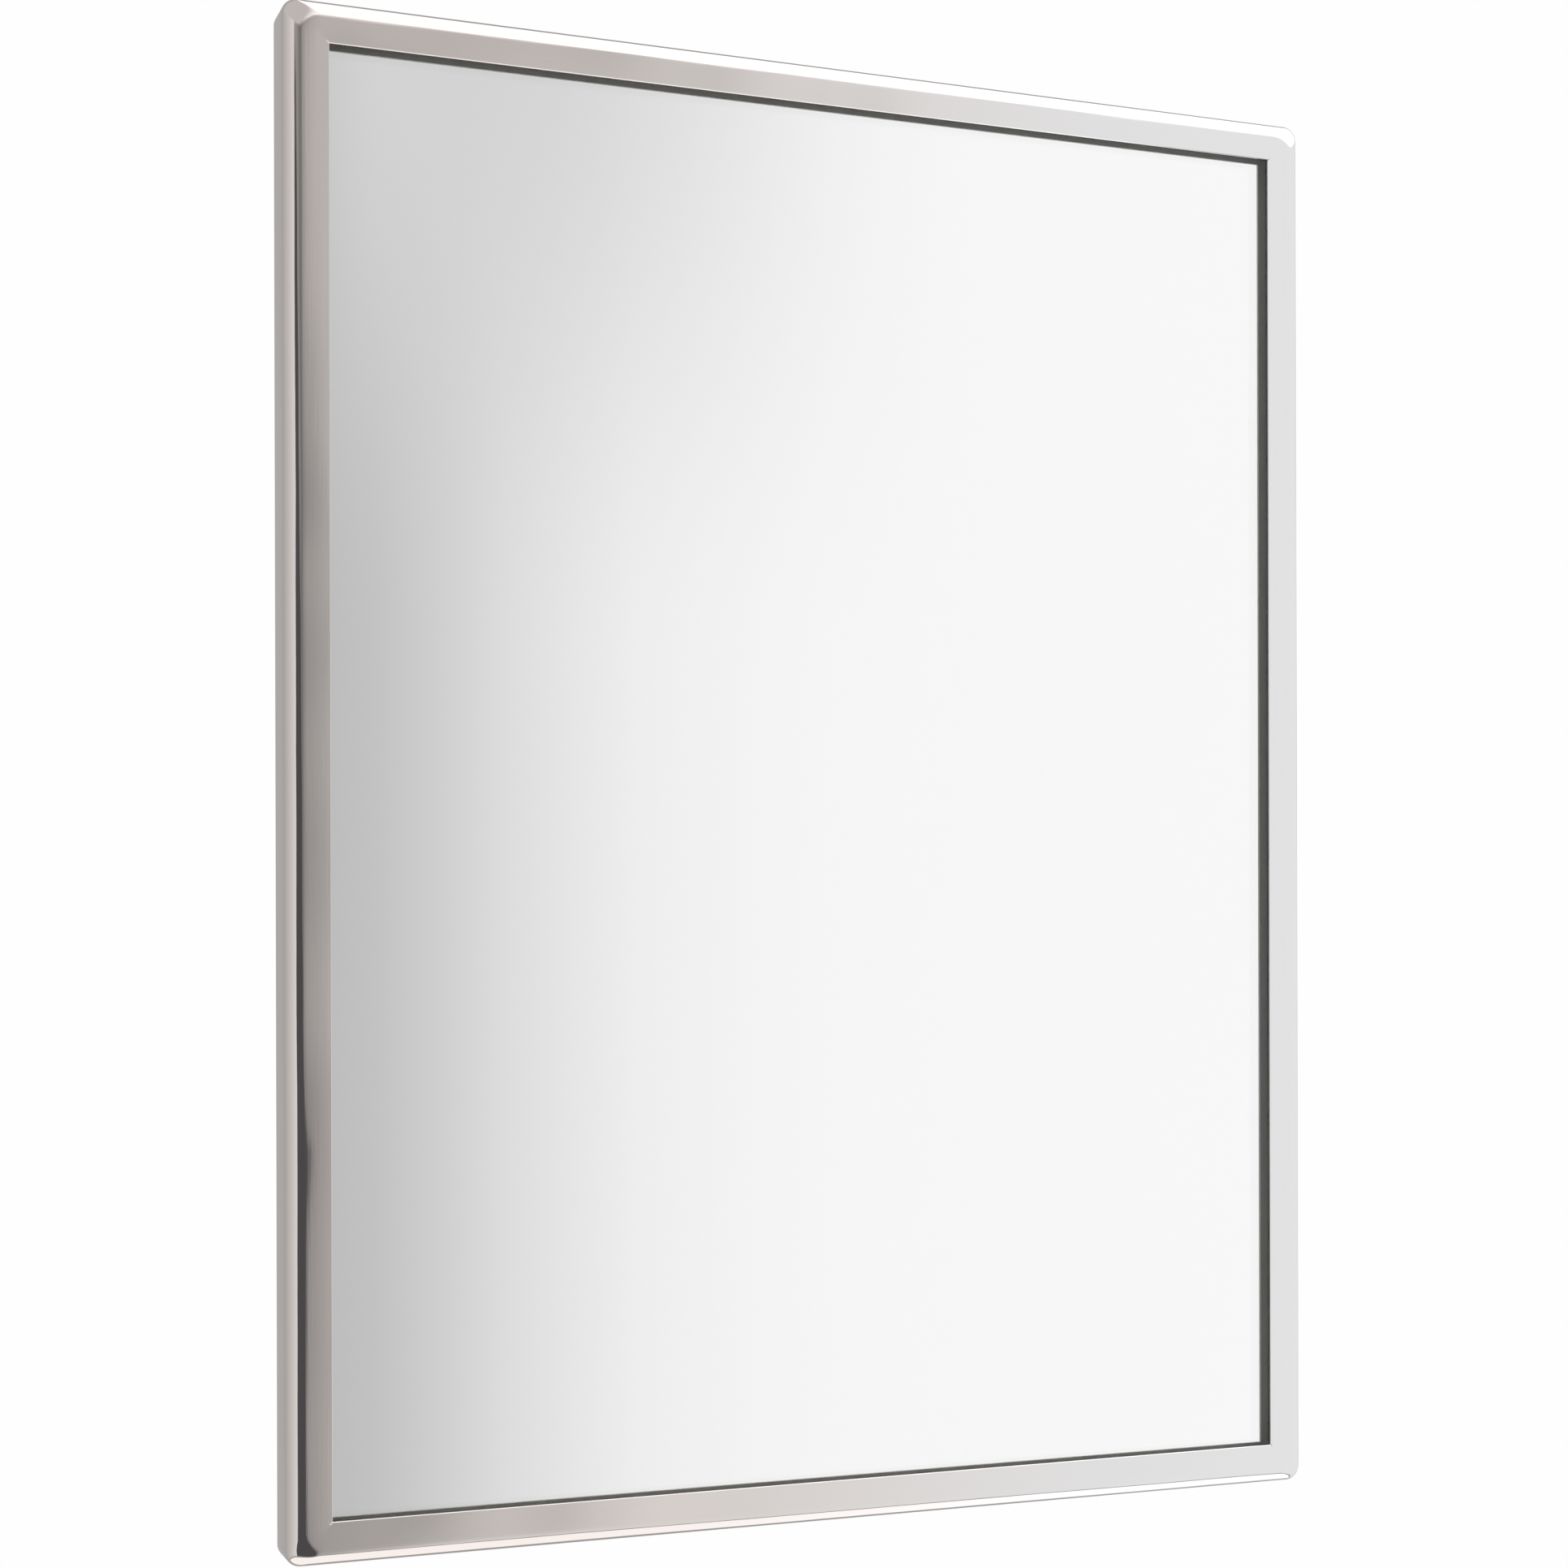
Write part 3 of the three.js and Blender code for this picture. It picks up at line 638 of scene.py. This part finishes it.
def hexRadius(flat, spokes):
    # a hexagon's radius at each spoke, with flats that face along the second axis
    angle = np.linspace(0, 2 * math.pi, spokes, endpoint=False)
    return flat / np.cos(np.mod(angle, math.pi / 3) - math.pi / 6)


def crossHeadScrew(name, place, axis):
    s = dict(shank=1.5, head=3.15, rim=0.5, rise=1.85, wide=0.34, wideSoft=0.07, reach=1.6,
             reachSoft=0.1, deep=0.9, spokes=72)
    foot = [(0.3, -6.0), (1.2, -5.9), (s["shank"], -5.4), (s["shank"], 0.15), (s["head"] - 0.1, 0.15),
            (s["head"], 0.3)]
    cap = np.linspace(s["head"] - 0.03, 0.05, 30)
    rise = s["rim"] + (s["rise"] - s["rim"]) * np.sqrt(1 - (cap / s["head"]) ** 2)
    radius, height = turnedRows(foot + list(zip(cap, rise)), s["spokes"])
    angle = np.linspace(0, 2 * math.pi, s["spokes"], endpoint=False)
    across, along = np.abs(radius * np.cos(angle)) / mm, np.abs(radius * np.sin(angle)) / mm
    inside = s["wide"] + s["wideSoft"] - np.minimum(across, along)
    narrow = np.clip(inside / (2 * s["wideSoft"]), 0, 1)
    ending = s["reach"] + s["reachSoft"] - np.maximum(across, along)
    short = np.clip(ending / (2 * s["reachSoft"]), 0, 1)
    onCap = (np.arange(len(radius)) >= len(foot))[:, None]
    height = height - onCap * narrow * short * s["deep"] * mm
    return turnedPiece(name, radius, height, place, axis, smoothAngle=32)


def threadedPin(name, place):
    # A locking screw: the radius dips by the thread's depth once for every pitch, with the
    # phase turning once round the pin. Its lower end holds a hexagon socket.
    s = dict(radius=1.74, depth=0.26, pitch=0.8, start=0.25, length=26, cone=1.4, coneDrop=0.9,
             spokes=36, rows=260, socket=0.9, deep=2.6)
    height = np.linspace(s["start"], s["length"], s["rows"])[:, None]
    phase = np.linspace(0, 1, s["spokes"], endpoint=False)[None, :]
    thread = np.abs(2 * np.mod(height / s["pitch"] - phase, 1) - 1)
    radius = s["radius"] - s["depth"] * thread
    point = s["radius"] - s["coneDrop"] * np.clip((height - s["length"] + s["cone"]) / s["cone"], 0, 1)
    radius = np.minimum(radius, point)
    socket = hexRadius(s["socket"], s["spokes"])[None, :]
    inner = np.concatenate([0.02 + 0 * socket, 0.92 * socket, socket, socket,
                            1.42 + 0 * socket, 1.5 + 0 * socket])
    levels = np.array([s["deep"], s["deep"], s["deep"] - 0.1, 0.08, 0.0, 0.05])[:, None]
    radius = np.concatenate([inner, radius]) * mm
    height = np.concatenate([np.broadcast_to(levels, inner.shape),
                             np.broadcast_to(height, (s["rows"], s["spokes"]))]) * mm
    return turnedPiece(name, radius, height, place, "up", smoothAngle=50)


def hexNut(name, place):
    # hexagon sides, cut back by a cone at both ends
    s = dict(flat=3.0, tall=2.8, bore=1.95, coneStart=3.02, coneSlope=1.7, spokes=72)
    side = hexRadius(s["flat"], s["spokes"])
    tall = s["tall"]
    levels = [0, 0, 0.12, 0.3, 0.5, tall - 0.5, tall - 0.3, tall - 0.12, tall, tall]
    rows = []
    for k, level in enumerate(levels):
        cone = s["coneStart"] + s["coneSlope"] * min(level, tall - level)
        bore = k in (0, len(levels) - 1)
        rows.append(np.full(s["spokes"], s["bore"]) if bore else np.minimum(side, cone))
    radius = np.array(rows) * mm
    height = np.array(levels)[:, None] * mm
    return turnedPiece(name, radius, height, place, "up", ring=True, smoothAngle=30)


def pressedTray():
    # The back: a pressed tray with drawn corners, and a raised bead that runs round its plate.
    s = dict(sheet=1.0, bend=1.3, flange=9.0, lip=0.15, corner=6.0, plateInset=20.0, beadInset=38.0,
             beadHalf=5.5, beadHigh=1.2, beadSteps=17, beadCorner=30.0, growFrom=2.5, centreInset=52.0,
             cornerSteps=13, sideSteps=20)
    halfX, halfZ = (trayHigh[0] - trayLow[0]) / 2 / mm, (trayHigh[2] - trayLow[2]) / 2 / mm
    turn = np.linspace(0, math.pi / 2, 7)
    bead = np.linspace(s["beadInset"] + s["beadHalf"], s["beadInset"] - s["beadHalf"], s["beadSteps"])
    inner, outer = s["bend"], s["bend"] + s["sheet"]
    inset = np.concatenate([[s["centreInset"]], bead, [s["plateInset"]], outer - inner * np.sin(turn),
                            [s["sheet"], s["sheet"] - s["lip"], s["lip"], 0.0],
                            outer - outer * np.cos(turn), [s["plateInset"]], bead[::-1],
                            [s["centreInset"]]])
    raised = s["beadHigh"] * 0.5 * (1 + np.cos(math.pi * (bead - s["beadInset"]) / s["beadHalf"]))
    level = np.concatenate([[s["sheet"]], s["sheet"] + raised, [s["sheet"]], outer - inner * np.cos(turn),
                            [s["flange"] - s["lip"], s["flange"], s["flange"], s["flange"] - s["lip"]],
                            outer - outer * np.sin(turn), [0.0], raised[::-1], [0.0]])
    grow = np.clip((inset - s["growFrom"]) / (s["beadInset"] - s["beadHalf"] - s["growFrom"]), 0, 1)
    radius = s["corner"] - np.minimum(inset, s["sheet"]) + grow * (s["beadCorner"] - s["corner"])
    x, z = roundedContours(halfX, halfZ, inset, radius, s["cornerSteps"], s["sideSteps"])
    y = np.broadcast_to(level[:, None], x.shape)
    points = np.stack([x * mm, trayLow[1] + y * mm, mirrorCentre[2] + z * mm], axis=-1).reshape(-1, 3)
    rows, columns = x.shape
    faces = gridFaces(rows, columns, wrapColumns=True).tolist()
    faces += [list(range(columns)), list(range((rows - 1) * columns, rows * columns))]
    return makeMesh("pressed_back_tray", points, faces, smoothAngle=35)


def buildBack():
    s = dict(sheet=1.2 * mm, bend=1.3 * mm, upperHook=0.0, lowerHook=-0.450,
             rivetX=80 * mm, rivetZ=-14 * mm, slotX=80 * mm, slotZ=-20 * mm,
             slotRadius=3 * mm, slotShift=4 * mm, slotCell=9 * mm,
             keyX=95 * mm, keyY=-5.8 * mm, keyRadius=2.1 * mm, keyCell=3 * mm, footZ=-29.4, railY=-0.6,
             bracketHalf=100 * mm, hangerHalf=120 * mm, bumperX=200 * mm, bumperZ=270 * mm,
             screwX=165 * mm, screwY=18.5 * mm, shelfZ=-283 * mm, angleSheet=1.0 * mm, angleHalf=11 * mm)
    finishPiece(pressedTray(), "mirror", "zinc_steel", zinc, "back_tray")
    tray = trayLow[1] / mm + 1
    ends = np.array([-s["bracketHalf"], 0, s["bracketHalf"]])
    for end, hook in (("upper", s["upperHook"]), ("lower", s["lowerHook"])):
        path = np.array([(tray + 0.7, -22), (tray + 0.7, 0.9), (-2.9, 0.9), (-2.9, -7)]) * mm + [0, hook]
        bracket = bentSheet(f"{end}_bent_bracket", [path], s["bend"], s["sheet"], ends)
        finishPiece(bracket, "mirror", "zinc_steel", zinc, f"{end}_hanging_bracket")
        for k, x in enumerate((-s["rivetX"], 0, s["rivetX"])):
            shank = [(0.3, -2.1), (1.5, -2.1), (1.55, 0.12), (3.1, 0.12), (3.2, 0.22)]
            radius, height = turnedRows(shank + dome(3.2, 0.3, 1.2, 9), 40)
            place = (x, (tray + 1.3) * mm, hook + s["rivetZ"])
            rivet = turnedPiece(f"{end}_rivet_{k + 1}", radius, height, place, "back")
            finishPiece(rivet, "mirror", "screw_steel", screwSteel, f"rivet_{end}_{k + 1}")
        foot = end == "lower"
        railY, footZ = s["railY"], s["footZ"]
        tall = [(railY, 12), (railY, -14), (railY, -26)]
        tall += [(railY, footZ), (-3.1, footZ), (-8.45, footZ)] if foot else [(railY, -30)]
        lip = [(-1.1, -9.4), (-4.5, -9.4), (-4.5, 0)]
        paths = [np.array(path) * mm + [0, hook] for path in (tall, lip)]
        half, slot, key = s["hangerHalf"], s["slotX"], s["keyX"]
        inner = [key + s["keyCell"], key - s["keyCell"], slot + s["slotCell"], slot - s["slotCell"]]
        columns = sorted([half, -half, 0] + inner + [-x for x in inner])
        slotSpot = np.array([railY * mm, hook + s["slotZ"]])
        holes = [(0, x, slotSpot, s["slotRadius"], s["slotShift"]) for x in (-slot, slot)]
        if foot:
            keySpot = np.array([s["keyY"], hook + footZ * mm])
            holes += [(0, x, keySpot, s["keyRadius"], 0) for x in (-key, key)]
        rail = bentSheet(f"{end}_bent_hanger", paths, s["bend"], s["sheet"], columns, holes)
        finishPiece(rail, "wall_hanger", "zinc_steel", zinc, f"hanger_{end}_rail")
        for k, x in enumerate((-s["screwX"], 0, s["screwX"])):
            side, axis = (1, "up") if end == "upper" else (-1, "down")
            label = "top" if end == "upper" else "bottom"
            place = (x, frontY + s["screwY"], mirrorCentre[2] + side * halfHeight)
            screw = crossHeadScrew(f"{label}_cross_screw_{k + 1}", place, axis)
            finishPiece(screw, "mirror", "screw_steel", screwSteel, f"tray_screw_{label}_{k + 1}")
    shelf = mirrorCentre[2] + s["shelfZ"]
    for side, sign in (("left", -1), ("right", 1)):
        x = sign * s["keyX"]
        path = np.array([(tray + 0.6, -14), (tray + 0.6, -0.5), (-3.25, -0.5)]) * mm + [0, shelf]
        ends = [x - s["angleHalf"], x, x + s["angleHalf"]]
        bracket = bentSheet(f"{side}_lock_angle", [path], s["angleSheet"], s["angleSheet"], ends)
        finishPiece(bracket, "mirror", "zinc_steel", zinc, f"lock_bracket_{side}")
        nut = hexNut(f"{side}_hex_nut", (x, s["keyY"], shelf + 0.1 * mm))
        finishPiece(nut, "mirror", "screw_steel", screwSteel, f"lock_nut_{side}")
        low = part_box(f"lock_screw_{side}")[0][2]
        pin = threadedPin(f"{side}_threaded_screw", (x, s["keyY"], low))
        finishPiece(pin, f"lock_{side}", "black_steel", blackSteel, f"lock_screw_{side}")
        for end, rise in (("upper", 1), ("lower", -1)):
            profile = [(0.4, 0), (8.8, 0), (9, 0.2), (9, 5.9), (8.9, 6.6), (8.6, 7.6), (8.1, 8.6),
                       (7.5, 9.3), (6.8, 9.75), (6.2, 9.88), (3.0, 9.88), (2.6, 9.6), (2.5, 8.6),
                       (0.3, 8.5)]
            radius, height = turnedRows(profile, 48)
            place = (sign * s["bumperX"], (tray + 0.1) * mm, mirrorCentre[2] + rise * s["bumperZ"])
            bumper = turnedPiece(f"{end}_{side}_rubber_foot", radius, height, place, "back",
                                 smoothAngle=45)
            finishPiece(bumper, "mirror", "rubber", rubber, f"bumper_{end}_{side}")


buildBack()
print("back and hanger made")


def buildWorld():
    # A studio as the mirror sees it, by the azimuth and the height of each direction.
    # Azimuth 0 is straight out of the glass and grows to its right as one looks at it.
    tones = [(-180, 0.50), (-150, 0.50), (-105, 0.66), (-75, 0.78), (-60, 0.86), (-42, 0.95), (-28, 0.44),
             (0, 0.22), (6, 0.33), (9, 0.44), (11.5, 0.52), (13, 0.575), (15.7, 0.77), (18.5, 0.90),
             (22, 0.955), (30, 0.975), (60, 0.99), (118, 0.95), (142, 0.42), (180, 0.50)]
    dark = dict(left=-39, right=1.5, lean=-1.5, furthest=8.5, soft=3, top=(22, 16),
                colour=(0.095, 0.096, 0.105, 1))
    # each pair of angles is where a layer starts and where it is full; ahead holds shares of 1
    lift = dict(height=(6, 20), left=(10, 13), right=(26, 14), colour=(0.68, 0.68, 0.68, 1))
    room = dict(ahead=(0.46, 0.3), ceiling=(20.5, 24.0), grey=(0.72, 0.71, 0.71, 1),
                bright=(2, 15), white=(1.6, 1.6, 1.6, 1),
                edge=(-41.0, -45.0), edgeTone=(0.35, 0.35, 0.36, 1),
                floor=(-46.0, -48.0), floorTone=(1.35, 1.35, 1.35, 1), backdrop=(0.99, 0.99, 0.99, 1))
    world = bpy.data.worlds.new("studio")
    bpy.context.scene.world = world
    world.use_nodes = True
    tree = world.node_tree
    tree.nodes.clear()
    place = tree.nodes.new("ShaderNodeTexCoord")
    parts = addNode(tree, "ShaderNodeSeparateXYZ", {"Vector": place.outputs["Generated"]})
    outward = addNode(tree, "ShaderNodeMath", {0: parts.outputs[1]}, operation="MULTIPLY")
    outward.inputs[1].default_value = -1
    turned = addNode(tree, "ShaderNodeMath", {0: parts.outputs[0], 1: outward.outputs[0]},
                     operation="ARCTAN2")
    raised = addNode(tree, "ShaderNodeMath", {0: parts.outputs[2]}, operation="ARCSINE")
    azimuth, height = turned.outputs[0], raised.outputs[0]
    share = addNode(tree, "ShaderNodeMapRange", {"Value": azimuth})
    share.inputs["From Min"].default_value = -math.pi
    share.inputs["From Max"].default_value = math.pi
    ramp = addNode(tree, "ShaderNodeValToRGB", {"Fac": share.outputs[0]})
    ends = ramp.color_ramp.elements
    for k, (degrees, tone) in enumerate(tones):
        spot = (degrees + 180) / 360
        stop = ends[k] if k < 2 else ends.new(spot)
        stop.position = spot
        stop.color = (tone / 2, tone / 2, tone / 2, 1)
    band = addNode(tree, "ShaderNodeVectorMath", {0: ramp.outputs[0]}, operation="SCALE")
    band.inputs["Scale"].default_value = 2.0

    def smooth(value, lowest, highest):
        # 0 up to the first angle and 1 past the second, both in degrees or as sockets
        mask = addNode(tree, "ShaderNodeMapRange", {"Value": value}, interpolation_type="SMOOTHSTEP")
        for name, end in (("From Min", lowest), ("From Max", highest)):
            if isinstance(end, (int, float)):
                mask.inputs[name].default_value = math.radians(end)
            else:
                tree.links.new(end, mask.inputs[name])
        return mask.outputs[0]

    def product(first, second):
        return addNode(tree, "ShaderNodeMath", {0: first, 1: second}, operation="MULTIPLY").outputs[0]

    def over(mask, below, colour):
        mix = addNode(tree, "ShaderNodeMix", {}, data_type="RGBA")
        tree.links.new(mask, mix.inputs[0])
        tree.links.new(below, mix.inputs[6])
        mix.inputs[7].default_value = colour
        return mix.outputs[2]

    # the wall of the studio is lighter high up on the left
    lifting = product(smooth(height, *lift["height"]),
                      product(smooth(azimuth, *lift["right"]), smooth(azimuth, *lift["left"])))
    lifted = over(lifting, band.outputs[0], lift["colour"])
    # a dark screen beside the camera, which leans away as it rises
    lean = addNode(tree, "ShaderNodeMath", {0: height}, operation="MULTIPLY_ADD")
    lean.inputs[1].default_value = dark["lean"]
    lean.inputs[2].default_value = math.radians(dark["right"])
    edge = addNode(tree, "ShaderNodeMath", {0: lean.outputs[0]}, operation="MINIMUM")
    edge.inputs[1].default_value = math.radians(dark["furthest"])
    softEdge = addNode(tree, "ShaderNodeMath", {0: edge.outputs[0]}, operation="ADD")
    softEdge.inputs[1].default_value = math.radians(-dark["soft"])
    screen = product(smooth(azimuth, dark["left"] - 1, dark["left"] + 1),
                     smooth(azimuth, edge.outputs[0], softEdge.outputs[0]))
    withScreen = over(product(screen, smooth(height, *dark["top"])), lifted, dark["colour"])
    # a bright ceiling and a bright floor, both only in front of the wall
    ahead = smooth(parts.outputs[1], *(math.degrees(limit) for limit in room["ahead"]))
    above = product(smooth(height, *room["ceiling"]), ahead)
    withGrey = over(above, withScreen, room["grey"])
    withCeiling = over(product(above, smooth(azimuth, *room["bright"])), withGrey, room["white"])
    withEdge = over(product(smooth(height, *room["edge"]), ahead), withCeiling, room["edgeTone"])
    withFloor = over(product(smooth(height, *room["floor"]), ahead), withEdge, room["floorTone"])
    path = tree.nodes.new("ShaderNodeLightPath")
    final = addNode(tree, "ShaderNodeMix", {}, data_type="RGBA")
    tree.links.new(path.outputs["Is Camera Ray"], final.inputs[0])
    tree.links.new(withFloor, final.inputs[6])
    final.inputs[7].default_value = room["backdrop"]
    sky = addNode(tree, "ShaderNodeBackground", {"Color": final.outputs[2]})
    out = tree.nodes.new("ShaderNodeOutputWorld")
    tree.links.new(sky.outputs[0], out.inputs["Surface"])


def buildFloor():
    # a pale round floor that fades out at its rim
    s = dict(radius=1.15, drop=0.28, fadeFrom=0.5, fadeTo=0.98, rings=24, spokes=72)
    radius = np.linspace(0, s["radius"], s["rings"])[1:, None]
    angle = np.linspace(0, 2 * math.pi, s["spokes"], endpoint=False)[None, :]
    level = cadLow[2] - s["drop"]
    x, y = radius * np.cos(angle), radius * np.sin(angle)
    points = np.stack([x, y, np.full_like(x, level)], axis=-1).reshape(-1, 3)
    # turned over so that the faces look up
    faces = gridFaces(s["rings"] - 1, s["spokes"], wrapColumns=True)[:, ::-1].tolist()
    faces.append(list(range(s["spokes"])))
    floor = makeMesh("pale_floor", points, faces, closed=False)
    material, tree, shader, place = newMaterial("pale floor")
    flat = addNode(tree, "ShaderNodeVectorMath", {0: place.outputs["Object"]}, operation="MULTIPLY")
    flat.inputs[1].default_value = (1, 1, 0)
    away = addNode(tree, "ShaderNodeVectorMath", {0: flat.outputs[0]}, operation="LENGTH")
    fade = addNode(tree, "ShaderNodeMapRange", {"Value": away.outputs["Value"]},
                   interpolation_type="SMOOTHSTEP")
    fade.inputs["From Min"].default_value = s["radius"] * s["fadeFrom"]
    fade.inputs["From Max"].default_value = s["radius"] * s["fadeTo"]
    fade.inputs["To Min"].default_value = 1.0
    fade.inputs["To Max"].default_value = 0.0
    tree.links.new(fade.outputs[0], shader.inputs["Alpha"])
    shader.inputs["Base Color"].default_value = (0.86, 0.86, 0.855, 1)
    shader.inputs["Roughness"].default_value = 0.8
    floor.data.materials.append(material)
    floor.visible_glossy = False
    floor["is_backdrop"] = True


def buildCamera():
    s = dict(lens=60.43, aside=-0.4218, away=1.0156, below=-0.065, yaw=-21.476, roll=-0.136, shiftUp=0.1051)
    data = bpy.data.cameras.new("camera")
    data.lens = s["lens"]
    data.sensor_width = 36
    data.shift_y = s["shiftUp"]
    camera = bpy.data.objects.new("camera", data)
    bpy.context.scene.collection.objects.link(camera)
    camera.location = (s["aside"], frontY - s["away"], mirrorCentre[2] + s["below"])
    turned = Euler((math.radians(90), 0, math.radians(s["yaw"])), "XYZ").to_matrix()
    tilt = Euler((0, 0, math.radians(s["roll"])), "XYZ").to_matrix()
    camera.rotation_euler = (turned @ tilt).to_euler()
    bpy.context.scene.camera = camera


def areaLight(name, place, target, size, power):
    data = bpy.data.lights.new(name, "AREA")
    data.shape = "RECTANGLE"
    data.size, data.size_y = size
    data.energy = power
    light = bpy.data.objects.new(name, data)
    light.location = place
    light.rotation_euler = (Vector(target) - Vector(place)).to_track_quat("-Z", "Y").to_euler()
    light.visible_camera = False
    light.visible_glossy = False
    light.visible_transmission = False
    bpy.context.scene.collection.objects.link(light)


buildWorld()
buildFloor()
buildCamera()
centre = Vector(mirrorCentre)
areaLight("overhead", centre + Vector((-0.4, -0.9, 1.6)), centre, (1.2, 1.2), 14)
areaLight("behind", centre + Vector((0.9, 1.5, 0.9)), centre, (0.9, 0.9), 16)
bpy.context.scene.view_settings.view_transform = "Standard"
print("room, lights and camera ready")
